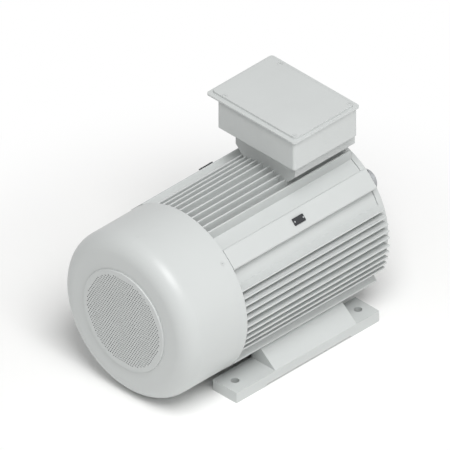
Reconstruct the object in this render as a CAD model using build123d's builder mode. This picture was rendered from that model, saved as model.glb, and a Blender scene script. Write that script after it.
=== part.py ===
from build123d import *
import os
from math import cos, radians, sin, sqrt

# Foot-mounted three-phase cage motor. +X is the shaft's drive end, +Z is up, and the origin is the
# middle of the four foot holes on the foot plane. Lengths are in millimetres.
os.makedirs("parts", exist_ok=True)

# Fits and gaps
fit = 0.05                      # radial play of one seated diameter in another
seat_gap = 0.05                 # play at the inclined seat between a foot and its pad
running_gap = 0.8               # play between the turning shaft and the bearing caps
race_play = 0.05                # play between a ball and its raceway
pocket_play = 0.3               # play between a ball and its cage pocket
slot_play = 0.3                 # insulation left round a coil side in its slot

# Mounting
shaft_height = 250.0
foot_hole_span_x = 470.0
foot_hole_d = 24.0

# Frame housing, with its lengths taken from the middle of the foot holes
frame_drive_x = 304.0
frame_fan_x = -290.0
frame_bore_r = 203.0
barrel_t = 19.0
pad_h = 28.0                    # flat of a pad above the barrel
fin_drop = 2.2                  # fin tips below the pads' flats
fin_rows = 5                    # fins on each side of a group's middle
fin_pitch = 20.75
fin_mid_gap = 26.2
fin_w = 5.1
fin_round = 1.6
pad_w = 62.5
pad_round = 5.1
pad_angle = 45.0

# Pedestal under the terminal box, its lengths taken back from the frame's drive end
pedestal_back = 229.0
pedestal_half_w = 113.6
pedestal_side_h = 56.8          # upright part of its sides, below the terminal box
pedestal_foot_half_w = 81.0
passage_back = 112.0
passage_len = 56.0
passage_w = 150.0

# Fan cowl and inlet guard
cowl_len = 223.0
cowl_lap = 48.5                 # cowl over the frame's fan end
cowl_drop = 1.5                 # cowl's outside below the pads' flats
cowl_t = 3.0
cowl_shoulder_r = 52.0
inlet_drop = 105.5              # inlet's edge below the cowl's outside
guard_lap = 10.0
guard_stand = 5.0
guard_t = 2.0
guard_cell = 22.0
guard_hole_w = 17.0
cowl_edge_gap = 0.5

# Feet
foot_bar_w = 92.0
foot_bar_h = 34.0
foot_end_drive = 36.0           # from a hole's centre to the end of the bar
foot_end_fan = 40.0
foot_inner_h = 44.38            # top of the block's inner face above the foot plane
foot_block_fan = 108.5          # from the fan-end hole's centre to the block
foot_block_drive = 50.0
foot_ridge_in = 35.5            # from the inner face to where the outer slope meets the pad
foot_relief_fan = 67.5
foot_relief_drive = 70.0
foot_relief_h = 5.0
foot_corner_r = 2.0
foot_screw_in = 18.0            # from the inner face to the screws
foot_screw_pitch = 108.0
foot_screw_count = 3
foot_screw_clamp = 40.38         # metal between a screw's head and the pad
foot_screw_bite = 34.0
counterbore_play = 1.0

# Stator
core_len = 300.0
air_gap = 1.0
stator_back = 75.5              # stator's bore below the frame's bore
stator_slots = 36
slot_w = 11.0
slot_mouth_w = 3.2
slot_cover = 3.5                # metal between the bore and a slot
slot_depth = 29.0
coil_head_gap = 9.0             # from the core's end to the coil head
coil_head_len = 58.0
coil_head_over = 18.0           # coil head outside the slots
coil_head_round = 12.0

# Rotor
rotor_slots = 28
bar_w = 7.0
bar_cover = 4.0                 # metal between the rotor's outside and a bar
bar_depth = 24.5
ring_len = 26.0
ring_under = 6.0                # end ring inside the bars
ring_over = 1.5                 # and outside them
wafter_count = 8
wafter_len = 18.0
wafter_t = 6.0
wafter_share = 0.8              # wafter's height as a share of its ring's

# Shaft diameters and lengths
drive_d = 65.0
drive_len = 140.0
drive_shoulder_out = 29.0       # from the frame's drive end
drive_chamfer = 2.5
key_w = 18.0
key_depth = 7.0
key_len = 125.0
key_end_gap = 7.0
centre_thread_r = 8.75
centre_thread_len = 42.0
core_seat_r = 42.5
collar_r = 47.0
collar_len = 12.0
shaft_mid_r = 41.0
fan_seat_d = 55.0
fan_end_tail = 9.0              # shaft left past the fan's retaining ring

# Bearings: bore, outside diameter, width, ball diameter, ball count
drive_bore = 70.0
drive_outer = 150.0
drive_width = 35.0
drive_ball_d = 25.4
fan_bore = 65.0
fan_outer = 140.0
fan_width = 33.0
fan_ball_d = 24.0
ball_count = 8
land_share = 0.28               # a ring's land stands this share of a ball from the pitch circle
groove_share = 0.52             # raceway radius as a share of the ball's diameter
cage_half_t = 4.0
cage_rim = 2.2

# End shields and bearing caps
shield_spigot_len = 10.0
shield_spigot_t = 13.0
shield_rim_drop = 0.5           # rim below the barrel
shield_rim_t = 24.0
shield_step_t = 9.0
shield_step = 3.0
shield_edge = 1.4               # chamfer round the rim's outer face
shield_rim_w = 22.0
shield_groove_w = 3.0           # shadow groove where the shield meets the frame
shield_groove_d = 4.0
shield_bite = 22.0
shield_wall = 10.0
shield_dish = 8.0               # wall set back from the frame's end, so the ribs stand out
shield_rib_t = 8.0
shield_rib_count = 8
shield_rib_sink = 6.0
shield_rib_root = 1.0           # a rib runs this far into the hub
hub_wall = 27.0                 # round the drive-end bearing
hub_proud = 2.0
outer_spigot = 3.5
inner_spigot = 5.5
cap_drop = 2.0                  # caps inside the hubs
outer_cap_t = 12.0
inner_cap_t = 12.0
cap_spigot_wall = 10.0
cap_screw_out = 13.0            # from the bearing's outside to the screws
cap_screw_count = 4
shield_screw_in = 11.0          # screws in from the barrel's outside
shield_screw_count = 4
washer_t = 1.5
seal_lip_gap = 0.3
seal_len = 8.0
seal_h = 6.0
seal_body_in = 3.2              # from the lip's edge to the body
seal_lip_back = 4.0
seal_lip_front = 2.4
seal_lip_h = 9.6
seal_neck_h = 4.8

# Fan
fan_start_gap = 31.0            # from the shield's outer face to the fan's back
fan_len = 78.0
fan_hub_r = 44.0
fan_plate_drop = 17.0           # back plate inside the blade tips
fan_plate_t = 5.0
fan_tip_gap = 23.5              # blade tips inside the cowl
fan_blade_t = 5.0
fan_blades = 9
fan_tip_len = 44.0
fan_front_drop = 54.0
fan_nose_r = 70.0
fan_hub_flare = 6.0
fan_key_w = 16.0
fan_key_h = 10.0
fan_key_depth = 6.0
fan_key_len = 50.0
clip_t = 2.0
clip_r = 33.0
clip_gap = 16.5
clip_groove = 1.5

# Terminal box, with its lengths from the middle of the foot holes
box_back = 265.5                # from the frame's drive end to the box's far wall
box_stand = 66.5                # box above the pads' flats, both from the shaft axis
box_len = 241.0
box_w = 295.0
box_h = 89.0
box_wall = 6.0
box_floor = 8.0
box_corner_r = 8.0
box_seal_t = 2.0
box_boss_r = 11.0
box_boss_sink = 2.0             # a boss runs this far into the walls
box_screw_inset = 26.0
lid_gasket_t = 2.5
lid_t = 5.0
lid_over = 6.0                  # lid past the box at three sides
lid_over_left = 38.0            # and past the cable-entry side
lid_panel_h = 6.5
lid_panel_inset_x = 14.0
lid_panel_inset_y = 9.5
lid_shell = 5.0
lid_panel_corner_r = 10.0
lid_corner_r = 10.0
entry_d = 63.0
entry_span = 110.0
entry_z = 41.0                  # entry axis above the box's bottom
plug_flange_r = 36.0
plug_flange_t = 10.0
plug_seal_t = 2.0
plug_hex_w = 30.0
plug_hex_h = 8.0
plug_tail = 4.0

# Terminal board
board_in = 73.5                 # from the box's outer wall to the board's middle
board_len = 96.0
board_w = 150.0
board_t = 20.0
board_round = 6.0
board_skin = 4.0
board_bite = 6.0
board_screw_inset_x = 10.0
board_screw_inset_y = 8.0
rib_t = 4.0
rib_h = 14.0
stud_r = 4.0
stud_len = 42.0
stud_span_x = 44.0
stud_span_y = 50.0
nut_w = 15.0
nut_h = 6.5
link_t = 3.0
link_w = 15.0
lug_r = 9.5
lug_t = 2.5
lead_r = 4.0
lead_bend_r = 18.0
lead_turn_r = 6.0
lead_pitch = 17.0
lead_seat = 0.2
earth_in = 47.5                 # from the box's outer walls

# Blank plates on the two upper pads
plate_x = 25.0
plate_len = 40.0
plate_w = 21.0
plate_t = 3.5
plate_corner_r = 2.0
rivet_r = 1.5
rivet_head_r = 2.4
rivet_head_h = 0.8
rivet_span = 32.0
rivet_len = 5.0

# Screws: clearance hole, tapped hole, head radius, head height and socket width of each size
m6 = (3.3, 2.5, 5.0, 6.0, 5.0)
m8 = (4.5, 3.4, 6.5, 8.0, 6.0)
m10 = (5.5, 4.25, 8.0, 10.0, 8.0)
m16 = (8.75, 7.0, 12.0, 16.0, 14.0)
cowl_screw_tap_r = 3.4
cowl_screw_head_r = 6.5
cowl_hole_r = 4.0
thread_end = 4.0                # clear depth left past a screw in its hole
lid_screw_len = 30.0
cowl_screw_len = 16.0
lid_screw_head_r = 7.5
socket_share = 0.4               # socket half-width of a flat screw, as a share of its head
socket_depth_share = 0.6         # and its depth, as a share of the head's cone
box_screw_bite = 26.0

# Worked-out places
origin_z = shaft_height
shaft_axis = Axis((0, 0, origin_z), (1, 0, 0))
stator_out_r = frame_bore_r - fit
stator_bore_r = frame_bore_r - stator_back
slot_in_r = stator_bore_r + slot_cover
slot_out_r = slot_in_r + slot_depth
coil_head_out_r = slot_out_r + coil_head_over
rotor_r = stator_bore_r - air_gap
bar_out_r = rotor_r - bar_cover
bar_in_r = bar_out_r - bar_depth
ring_out_r = bar_out_r + ring_over
ring_in_r = bar_in_r - ring_under
half_core = core_len / 2
barrel_r = frame_bore_r + barrel_t
pad_r = barrel_r + pad_h
fin_tip_r = pad_r - fin_drop
cowl_r = pad_r - cowl_drop
cowl_in_r = cowl_r - cowl_t
cowl_rear_x = frame_fan_x + cowl_lap
cowl_front_x = cowl_rear_x - cowl_len
inlet_r = cowl_r - inlet_drop
guard_r = inlet_r + guard_lap
fan_tip_r = cowl_in_r - fan_tip_gap
fan_plate_r = fan_tip_r - fan_plate_drop
fan_front_r = fan_tip_r - fan_front_drop
shield_rim_r = barrel_r - shield_rim_drop
shield_screw_pcd_r = barrel_r - shield_screw_in
hub_r = drive_outer / 2 + hub_wall
cap_r = hub_r - cap_drop
cap_screw_pcd_r = drive_outer / 2 + cap_screw_out
drive_shoulder_x = frame_drive_x + drive_shoulder_out
box_fan_x = frame_drive_x - box_back
box_bottom_h = pad_r + box_stand
pedestal_fan_x = frame_drive_x - pedestal_back
pedestal_slope_z = box_bottom_h - pedestal_side_h
passage_x = frame_drive_x - passage_back
board_x = box_fan_x + board_in
earth_x = box_fan_x + box_len - earth_in
earth_y = earth_in - box_w / 2
fin_offsets = [fin_mid_gap / 2 + n * fin_pitch for n in range(fin_rows)]
pad_angles = [pad_angle + 90 * n for n in range(4)]
box_mid_x = box_fan_x + box_len / 2
box_bottom_z = origin_z + box_bottom_h
box_top_z = box_bottom_z + box_h
box_floor_z = box_bottom_z + box_floor
pedestal_top_z = box_bottom_z - box_seal_t
lid_bottom_z = box_top_z + lid_gasket_t
board_top_z = box_floor_z + board_t
drive_end_x = drive_shoulder_x + drive_len


def cross(x):
    """Plane square to the shaft at x, its own x along +Y and its own y up."""
    return Plane(origin=(x, 0, origin_z), x_dir=(0, 1, 0), z_dir=(1, 0, 0))


def radial(angle):
    """Plane through the shaft axis, its own x along +X and its own y outwards at the angle from +Z."""
    turn = radians(angle)
    return Plane(origin=(0, 0, origin_z), x_dir=(1, 0, 0), z_dir=(0, -cos(turn), -sin(turn)))


def outward(x, angle, height):
    """Plane facing away from the shaft at the angle from +Y, at the height from the shaft axis."""
    turn = radians(angle)
    out = (0, cos(turn), sin(turn))
    start = (x, height * out[1], origin_z + height * out[2])
    return Plane(origin=start, x_dir=(1, 0, 0), z_dir=out)


def facing(x, side, y, z):
    """Plane square to the shaft at x that faces side * X, with its origin at y and z from the axis."""
    return Plane(origin=(x, y, origin_z + z), x_dir=(0, side, 0), z_dir=(side, 0, 0))


def ring_places(x, side, radius, count, start=0.0):
    """Planes facing side * X on a circle round the shaft."""
    turns = [radians(start + 360 * n / count) for n in range(count)]
    return [facing(x, side, radius * cos(turn), radius * sin(turn)) for turn in turns]


def socket_screws(places, size, length):
    """Socket-head screws whose heads sit on the given planes."""
    clear_r, tap_r, head_r, head_h, socket_w = size
    with BuildPart() as screws:
        with BuildSketch(*places):
            Circle(head_r)
        extrude(amount=head_h)
        with BuildSketch(*places):
            Circle(tap_r - fit)
        extrude(amount=-length)
        with BuildSketch(*[place.offset(head_h) for place in places]):
            RegularPolygon(socket_w / 2, 6, major_radius=False)
        extrude(amount=-head_h / 2, mode=Mode.SUBTRACT)
    return screws


def flat_screws(places, tap_r, head_r, length):
    """Countersunk screws whose heads end flush with the given planes."""
    cone = head_r - tap_r
    top = (Align.CENTER, Align.CENTER, Align.MAX)
    with BuildPart() as screws:
        with Locations(*places):
            Cone(tap_r - fit, head_r - fit, cone, align=top)
        with Locations(*[place.offset(-cone) for place in places]):
            Cylinder(tap_r - fit, length - cone, align=top)
        with BuildSketch(*places):
            RegularPolygon(head_r * socket_share, 6, major_radius=False)
        extrude(amount=-cone * socket_depth_share, mode=Mode.SUBTRACT)
    return screws


def save(name, label):
    name.part.label = label
    export_step(name.part, f"parts/{label}.step")


# Places of the fasteners, shared by the holes and the screws
fan_shield_face = frame_fan_x - shield_rim_t
foot_block_fan_x = foot_block_fan - foot_hole_span_x / 2
foot_block_drive_x = foot_hole_span_x / 2 - foot_block_drive
foot_relief_fan_x = foot_relief_fan - foot_hole_span_x / 2
foot_relief_drive_x = foot_hole_span_x / 2 - foot_relief_drive
foot_mid_x = (foot_block_fan_x + foot_block_drive_x) / 2
foot_screw_steps = [n - (foot_screw_count - 1) / 2 for n in range(foot_screw_count)]
foot_screw_xs = [foot_mid_x + step * foot_screw_pitch for step in foot_screw_steps]
pad_line = (pad_r + seat_gap) * sqrt(2)
foot_inner_y = pad_line - shaft_height + foot_inner_h
foot_hole_span_y = 2 * foot_inner_y + foot_bar_w
foot_ridge_y = foot_inner_y + foot_ridge_in
foot_screw_y = foot_inner_y + foot_screw_in
foot_screw_roof = foot_inner_h + foot_screw_in
foot_screw_sink = foot_screw_roof - foot_screw_clamp
cowl_screw_x = (cowl_rear_x + frame_fan_x) / 2
cowl_screw_places = [outward(cowl_screw_x, angle, cowl_r) for angle in pad_angles]
frame_drive_taps = ring_places(frame_drive_x, 1, shield_screw_pcd_r, shield_screw_count, pad_angle)
frame_fan_taps = ring_places(frame_fan_x, -1, shield_screw_pcd_r, shield_screw_count, pad_angle)
box_screw_y = pedestal_half_w - box_screw_inset
box_screw_xs = [pedestal_fan_x + box_screw_inset, box_fan_x + box_len - box_screw_inset]
box_screw_spots = [(x, y) for x in box_screw_xs for y in (-box_screw_y, box_screw_y)]
foot_tap_spots = [(x, y) for x in foot_screw_xs for y in (-foot_screw_y, foot_screw_y)]
lid_top_z = lid_bottom_z + lid_t + lid_panel_h
lid_mid_y = (lid_over_left - lid_over) / 2
lid_len = box_len + 2 * lid_over
lid_w = box_w + lid_over + lid_over_left
lid_hollow_inset = lid_panel_inset_x - lid_over + lid_shell
panel_len = lid_len - 2 * lid_panel_inset_x
panel_w = lid_w - 2 * lid_panel_inset_y
boss_x = box_len / 2 - box_wall - box_boss_r + box_boss_sink
boss_y = box_w / 2 - box_wall - box_boss_r + box_boss_sink
boss_spots = [(box_mid_x + i * boss_x, j * boss_y) for i in (-1, 1) for j in (-1, 1)]
entry_xs = [box_mid_x - entry_span / 2, box_mid_x + entry_span / 2]
entry_centres = [(x, box_w / 2, box_bottom_z + entry_z) for x in entry_xs]
entry_places = [Plane(centre, x_dir=(1, 0, 0), z_dir=(0, 1, 0)) for centre in entry_centres]
stud_ys = [-stud_span_y, 0, stud_span_y]
stud_spots = [(board_x + i * stud_span_x / 2, y) for i in (-1, 1) for y in stud_ys]
board_screw_x = board_x - board_len / 2 + board_screw_inset_x
board_screw_y = board_w / 2 - board_screw_inset_y
board_screw_spots = [(board_screw_x, -board_screw_y), (board_screw_x, board_screw_y)]
foot_hole_xs = [-foot_hole_span_x / 2, foot_hole_span_x / 2]
down = (0, 0, -1)
foot_screw_places = [Plane((x, y, 0), x_dir=(1, 0, 0), z_dir=down) for x, y in foot_tap_spots]
foot_head_places = [place.offset(-foot_screw_sink) for place in foot_screw_places]
plate_rivet_xs = [plate_x - rivet_span / 2, plate_x + rivet_span / 2]
plate_angles = [pad_angle, 180 - pad_angle]
rivet_places = [outward(x, angle, pad_r + plate_t) for x in plate_rivet_xs for angle in plate_angles]

# Frame housing: finned barrel with four pads and the terminal-box pedestal, cast in one
with BuildPart() as frame_housing:
    with BuildSketch(cross(frame_fan_x)):
        Circle(barrel_r)
        for offset_y in fin_offsets:
            tip = sqrt(fin_tip_r**2 - offset_y**2)
            root = sqrt(barrel_r**2 - offset_y**2) - fin_w
            with PolarLocations(0, 4):
                with Locations(((tip + root) / 2, offset_y), ((tip + root) / 2, -offset_y)):
                    RectangleRounded(tip - root, fin_w, fin_round)
        pad_root = frame_bore_r + pad_round
        with PolarLocations(0, 4, start_angle=pad_angle):
            with Locations(((pad_r + pad_root) / 2, 0)):
                RectangleRounded(pad_r - pad_root, pad_w, pad_round)
    extrude(amount=frame_drive_x - frame_fan_x)
    slope_end_z = pedestal_slope_z - pedestal_half_w + pedestal_foot_half_w
    with BuildSketch(cross(pedestal_fan_x)):
        with BuildLine():
            half = Polyline(
                (0, pedestal_top_z - origin_z),
                (pedestal_half_w, pedestal_top_z - origin_z),
                (pedestal_half_w, pedestal_slope_z),
                (pedestal_foot_half_w, slope_end_z),
                (pedestal_foot_half_w, stator_bore_r),
                (0, stator_bore_r),
            )
            mirror(half, about=Plane.YZ)
        make_face()
    extrude(amount=frame_drive_x - pedestal_fan_x)
    with BuildSketch(cross(frame_fan_x)):
        Circle(frame_bore_r)
    extrude(amount=frame_drive_x - frame_fan_x, mode=Mode.SUBTRACT)
    with BuildSketch(cross(frame_fan_x)):
        Circle(pad_r + fin_w)
        Circle(cowl_in_r - fit, mode=Mode.SUBTRACT)
    extrude(amount=cowl_rear_x + cowl_edge_gap - frame_fan_x, mode=Mode.SUBTRACT)
    with BuildSketch(Plane.XY.offset(origin_z)):
        with Locations((passage_x, 0)):
            RectangleRounded(passage_len, passage_w, pad_round)
    extrude(amount=pedestal_top_z - origin_z, mode=Mode.SUBTRACT)
    with Locations(*frame_drive_taps, *frame_fan_taps):
        Hole(m10[1], shield_bite)
    with Locations(*cowl_screw_places):
        Hole(cowl_screw_tap_r, cowl_screw_len + cowl_t)
    with Locations(*[(x, y, pedestal_top_z) for x, y in box_screw_spots]):
        Hole(m8[1], box_screw_bite)
    foot_tap_top = foot_screw_roof + foot_screw_bite
    with Locations(*[(x, y, foot_tap_top) for x, y in foot_tap_spots]):
        Hole(m16[1], foot_tap_top)
    with Locations(*rivet_places):
        Hole(rivet_r, rivet_len + plate_t)
save(frame_housing, "frame_housing")

# Feet: a bar with two bolt holes and an inclined block that bears on the frame's lower pad
foot_fan_x = -foot_hole_span_x / 2 - foot_end_fan
foot_drive_x = foot_hole_span_x / 2 + foot_end_drive
foot_outer_y = foot_inner_y + foot_bar_w


def foot(side):
    with BuildPart() as made:
        with BuildSketch(Plane.YZ.offset(foot_fan_x)):
            with Locations((side * foot_hole_span_y / 2, foot_bar_h / 2)):
                Rectangle(foot_bar_w, foot_bar_h)
        extrude(amount=foot_drive_x - foot_fan_x)
        fillet(made.edges().filter_by(Axis.Z), foot_corner_r)
        with BuildSketch(Plane.YZ.offset(foot_block_fan_x)):
            with BuildLine():
                Polyline(
                    (side * foot_inner_y, foot_bar_h / 2),
                    (side * foot_inner_y, foot_inner_h),
                    (side * foot_ridge_y, foot_inner_h + foot_ridge_in),
                    (side * foot_outer_y, foot_bar_h),
                    (side * foot_outer_y, foot_bar_h / 2),
                    close=True,
                )
            make_face()
        extrude(amount=foot_block_drive_x - foot_block_fan_x)
        with BuildSketch(Plane.XZ):
            with BuildLine():
                Polyline(
                    (foot_relief_fan_x, 0),
                    (foot_relief_fan_x + foot_relief_h, foot_relief_h),
                    (foot_relief_drive_x - foot_relief_h, foot_relief_h),
                    (foot_relief_drive_x, 0),
                    close=True,
                )
            make_face()
        extrude(amount=-side * foot_outer_y, mode=Mode.SUBTRACT)
        with Locations(*[(x, side * foot_hole_span_y / 2, foot_bar_h) for x in foot_hole_xs]):
            Hole(foot_hole_d / 2, foot_bar_h)
        with Locations(*[place for place in foot_screw_places if place.origin.Y * side > 0]):
            CounterBoreHole(m16[0], m16[2] + counterbore_play, foot_screw_sink, foot_screw_roof + m16[0])
    return made


right_foot = foot(-1)
save(right_foot, "right_foot")
left_foot = foot(1)
save(left_foot, "left_foot")
foot_screws = socket_screws(foot_head_places, m16, foot_screw_clamp + foot_screw_bite - thread_end)
save(foot_screws, "foot_screws")

# Stator: slotted core, and the winding with its legs in the slots and its two coil heads
with BuildPart() as stator_core:
    with BuildSketch(cross(-half_core)):
        Circle(stator_out_r)
        Circle(stator_bore_r, mode=Mode.SUBTRACT)
        with PolarLocations(0, stator_slots):
            with Locations(((slot_in_r + slot_out_r) / 2, 0)):
                Rectangle(slot_out_r - slot_in_r, slot_w, mode=Mode.SUBTRACT)
            with Locations((slot_in_r - slot_mouth_w, 0)):
                Rectangle(3 * slot_mouth_w, slot_mouth_w, mode=Mode.SUBTRACT)
    extrude(amount=core_len)
save(stator_core, "stator_core")

coil_head_x = half_core + coil_head_gap
with BuildPart() as stator_winding:
    leg_half = coil_head_x + coil_head_len / 2
    with BuildSketch(cross(-leg_half)):
        with PolarLocations(0, stator_slots):
            with Locations(((slot_in_r + slot_out_r) / 2, 0)):
                Rectangle(slot_out_r - slot_in_r - 2 * slot_play, slot_w - 2 * slot_play)
    extrude(amount=2 * leg_half)
    with BuildSketch(radial(0)):
        for side in (-1, 1):
            with Locations((side * leg_half, (slot_in_r + coil_head_out_r) / 2)):
                RectangleRounded(coil_head_len, coil_head_out_r - slot_in_r, coil_head_round)
    revolve(axis=shaft_axis)
save(stator_winding, "stator_winding")

# Rotor: laminated core with closed slots, and the cast cage of bars, end rings and wafters
with BuildPart() as rotor_core:
    with BuildSketch(cross(-half_core)):
        Circle(rotor_r)
        Circle(core_seat_r + fit, mode=Mode.SUBTRACT)
        with PolarLocations(0, rotor_slots):
            with Locations(((bar_in_r + bar_out_r) / 2, 0)):
                Rectangle(bar_out_r - bar_in_r, bar_w, mode=Mode.SUBTRACT)
    extrude(amount=core_len)
save(rotor_core, "rotor_core")

with BuildPart() as rotor_cage:
    with BuildSketch(cross(-half_core)):
        with PolarLocations(0, rotor_slots):
            with Locations(((bar_in_r + bar_out_r) / 2, 0)):
                Rectangle(bar_out_r - bar_in_r - 2 * fit, bar_w - 2 * fit)
    extrude(amount=core_len)
    with BuildSketch(cross(half_core), cross(-half_core - ring_len)):
        Circle(ring_out_r)
        Circle(ring_in_r, mode=Mode.SUBTRACT)
    extrude(amount=ring_len)
    wafter_mid = half_core + ring_len + wafter_len / 2
    ring_mid_r = (ring_in_r + ring_out_r) / 2
    with BuildSketch(*[radial(360 * n / wafter_count) for n in range(wafter_count)]):
        with Locations((wafter_mid, ring_mid_r), (-wafter_mid, ring_mid_r)):
            Rectangle(wafter_len, (ring_out_r - ring_in_r) * wafter_share)
    extrude(amount=wafter_t / 2, both=True)
save(rotor_cage, "rotor_cage")

# Places along the shaft
drive_shoulder = frame_drive_x + hub_proud - outer_spigot - drive_width
fan_shoulder = frame_fan_x - hub_proud + outer_spigot + fan_width
drive_seat_r = drive_bore / 2 - fit
fan_bearing_seat_r = fan_bore / 2 - fit
fan_seat_r = fan_seat_d / 2
fan_back_x = fan_shield_face - fan_start_gap
fan_front_x = fan_back_x - fan_len
shaft_fan_x = fan_front_x - clip_t - fan_end_tail
fan_mid_x = (fan_back_x + fan_front_x) / 2

with BuildPart() as shaft:
    with BuildSketch(radial(0)):
        with BuildLine():
            Polyline(
                (shaft_fan_x, 0),
                (shaft_fan_x, fan_seat_r - drive_chamfer),
                (shaft_fan_x + drive_chamfer, fan_seat_r),
                (fan_front_x - clip_t - fit, fan_seat_r),
                (fan_front_x - clip_t - fit, fan_seat_r - clip_groove),
                (fan_front_x, fan_seat_r - clip_groove),
                (fan_front_x, fan_seat_r),
                (fan_back_x, fan_seat_r),
                (fan_back_x, fan_bearing_seat_r),
                (fan_shoulder, fan_bearing_seat_r),
                (fan_shoulder, shaft_mid_r),
                (-half_core, shaft_mid_r),
                (-half_core, core_seat_r),
                (half_core, core_seat_r),
                (half_core, collar_r),
                (half_core + collar_len, collar_r),
                (half_core + collar_len, shaft_mid_r),
                (drive_shoulder, shaft_mid_r),
                (drive_shoulder, drive_seat_r),
                (drive_shoulder_x, drive_seat_r),
                (drive_shoulder_x, drive_d / 2),
                (drive_end_x - drive_chamfer, drive_d / 2),
                (drive_end_x, drive_d / 2 - drive_chamfer),
                (drive_end_x, 0),
                close=True,
            )
        make_face()
    revolve(axis=shaft_axis)
    with BuildSketch(Plane.XY.offset(origin_z + drive_d / 2 - key_depth)):
        with Locations((drive_end_x - key_end_gap - key_len / 2, 0)):
            SlotOverall(key_len, key_w)
    extrude(amount=drive_bore, mode=Mode.SUBTRACT)
    with BuildSketch(Plane.XY.offset(origin_z + fan_seat_r - fan_key_depth)):
        with Locations((fan_mid_x, 0)):
            SlotOverall(fan_key_len + 2 * fit, fan_key_w + 2 * fit)
    extrude(amount=fan_seat_r, mode=Mode.SUBTRACT)
    with Locations(facing(drive_end_x, 1, 0, 0)):
        Hole(centre_thread_r, centre_thread_len)
save(shaft, "shaft")

# Cooling fan: hub, back plate and straight blades that work in either direction of turn
key_top = fan_seat_r - fan_key_depth + fan_key_h
with BuildPart() as fan:
    with BuildSketch(radial(0)):
        with BuildLine():
            Polyline(
                (fan_front_x, fan_seat_r + fit),
                (fan_front_x, fan_hub_r),
                (fan_back_x - fan_plate_t, fan_hub_r + fan_hub_flare),
                (fan_back_x - fan_plate_t, fan_plate_r),
                (fan_back_x, fan_plate_r),
                (fan_back_x, fan_seat_r + fit),
                close=True,
            )
        make_face()
    revolve(axis=shaft_axis)
    with BuildSketch(*[radial(360 * n / fan_blades) for n in range(fan_blades)]):
        with BuildLine():
            edge = Polyline(
                (fan_front_x + fan_plate_t, fan_hub_r - fan_blade_t),
                (fan_back_x - fan_plate_t / 2, fan_hub_r - fan_blade_t),
                (fan_back_x - fan_plate_t / 2, fan_tip_r),
                (fan_back_x - fan_tip_len, fan_tip_r),
            )
            RadiusArc(edge @ 1, (fan_front_x + fan_plate_t, fan_front_r), -fan_nose_r)
            Line((fan_front_x + fan_plate_t, fan_front_r), edge @ 0)
        make_face()
    extrude(amount=fan_blade_t / 2, both=True)
    with BuildSketch(cross(fan_front_x)):
        with Locations((0, (fan_seat_r + key_top) / 2)):
            Rectangle(fan_key_w + 2 * fit, key_top - fan_seat_r + 2 * fit + fan_blade_t)
    extrude(amount=fan_len, mode=Mode.SUBTRACT)
save(fan, "fan")

with BuildPart() as fan_key:
    with BuildSketch(Plane.XY.offset(origin_z + fan_seat_r - fan_key_depth)):
        with Locations((fan_mid_x, 0)):
            SlotOverall(fan_key_len, fan_key_w)
    extrude(amount=fan_key_h)
save(fan_key, "fan_key")

with BuildPart() as fan_clip:
    with BuildSketch(cross(fan_front_x - clip_t)):
        Circle(clip_r)
        Circle(fan_seat_r - clip_groove + fit, mode=Mode.SUBTRACT)
        with Locations((0, clip_r)):
            Rectangle(clip_gap, clip_r, mode=Mode.SUBTRACT)
    extrude(amount=clip_t)
save(fan_clip, "fan_clip")

# Deep-groove ball bearings: inner and outer rings, balls and cage
def bearing(mid_x, bore, outer, width, ball_d):
    pitch_r = (bore + outer) / 4
    groove_r = groove_share * ball_d
    ball_r = ball_d / 2
    inner_floor = pitch_r - ball_r - race_play
    outer_floor = pitch_r + ball_r + race_play
    inner_land = pitch_r - land_share * ball_d
    outer_land = pitch_r + land_share * ball_d
    with BuildPart() as inner:
        with BuildSketch(radial(0)):
            with Locations((mid_x, (bore / 2 + inner_land) / 2)):
                Rectangle(width, inner_land - bore / 2)
            with Locations((mid_x, inner_floor + groove_r)):
                Circle(groove_r, mode=Mode.SUBTRACT)
        revolve(axis=shaft_axis)
    with BuildPart() as outer_ring:
        with BuildSketch(radial(0)):
            with Locations((mid_x, (outer / 2 + outer_land) / 2)):
                Rectangle(width, outer / 2 - outer_land)
            with Locations((mid_x, outer_floor - groove_r)):
                Circle(groove_r, mode=Mode.SUBTRACT)
        revolve(axis=shaft_axis)
    with BuildPart(cross(mid_x)) as balls:
        with PolarLocations(pitch_r, ball_count):
            Sphere(ball_r)
    pocket_r = ball_r + pocket_play
    with BuildPart() as cage:
        with BuildSketch(cross(mid_x - pocket_r - cage_rim)):
            Circle(pitch_r + cage_half_t)
            Circle(pitch_r - cage_half_t, mode=Mode.SUBTRACT)
        extrude(amount=2 * (pocket_r + cage_rim))
        turns = [360 * n / ball_count for n in range(ball_count)]
        with Locations(*[outward(mid_x, turn, pitch_r + 2 * cage_half_t) for turn in turns]):
            Hole(pocket_r, 4 * cage_half_t)
    return inner, outer_ring, balls, cage


drive_bearing_x = drive_shoulder + drive_width / 2
fan_bearing_x = fan_shoulder - fan_width / 2
bearing_sizes = {
    "drive": (drive_bearing_x, drive_bore, drive_outer, drive_width, drive_ball_d),
    "fan": (fan_bearing_x, fan_bore, fan_outer, fan_width, fan_ball_d),
}
for end, sizes in bearing_sizes.items():
    pieces = bearing(*sizes)
    for piece, word in zip(pieces, ("inner_ring", "outer_ring", "balls", "cage")):
        save(piece, f"{end}_bearing_{word}")


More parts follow.
